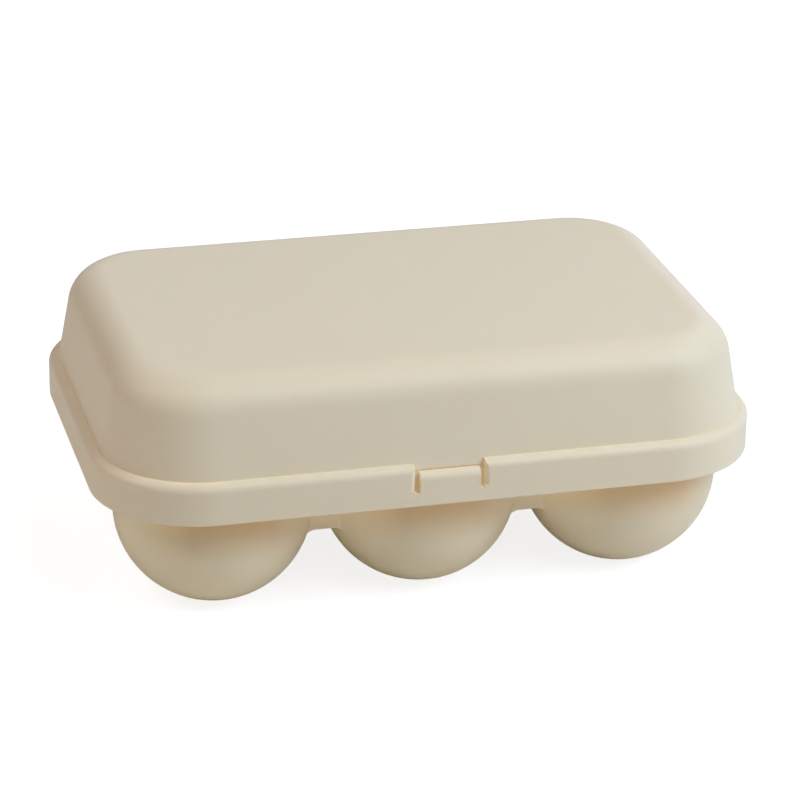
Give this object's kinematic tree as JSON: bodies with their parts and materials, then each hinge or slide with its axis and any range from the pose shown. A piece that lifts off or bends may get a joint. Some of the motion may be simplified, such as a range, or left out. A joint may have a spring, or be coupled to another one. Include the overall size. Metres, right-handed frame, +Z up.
{
  "type": "egg keeper with flip lid",
  "caption": "Shallow moulded tray of round egg cups under a domed lid that flips up on pinned hinges and is held by a springy snap tongue in its skirt.",
  "frame": {"origin": "middle of the whole footprint, hinges included, on the plane that the cups' feet stand on; the cups' middle is 2.6 mm in front of it", "axes": "+X along the front towards the right, -Y towards the front where the tongue is, +Z up"},
  "size_m": [0.1596, 0.1132, 0.0617],
  "materials": {
    "tray_plastic": "satin cream",
    "lid_plastic": "satin cream",
    "pin_plastic": "satin cream"
  },
  "bodies": {
    "tray": {"egg_tray": "tray_plastic", "hinge_pin_left": "pin_plastic", "hinge_pin_right": "pin_plastic"},
    "lid": {"lid": "lid_plastic"},
    "tongue": {"snap_tongue": "lid_plastic"}
  },
  "joints": [
    {"name": "lid_hinge", "type": "hinge", "parent": "tray", "child": "lid", "pos_m": [0, 0.05407, 0.02969], "axis": [-1, 0, 0], "range_deg": [0, 165]},
    {"name": "tongue_flex", "type": "hinge", "parent": "lid", "child": "tongue", "pos_m": [0, -0.05582, 0.03359], "axis": [1, 0, 0], "range_deg": [0, 8], "stiffness_Nm_per_rad": 0.05}
  ]
}
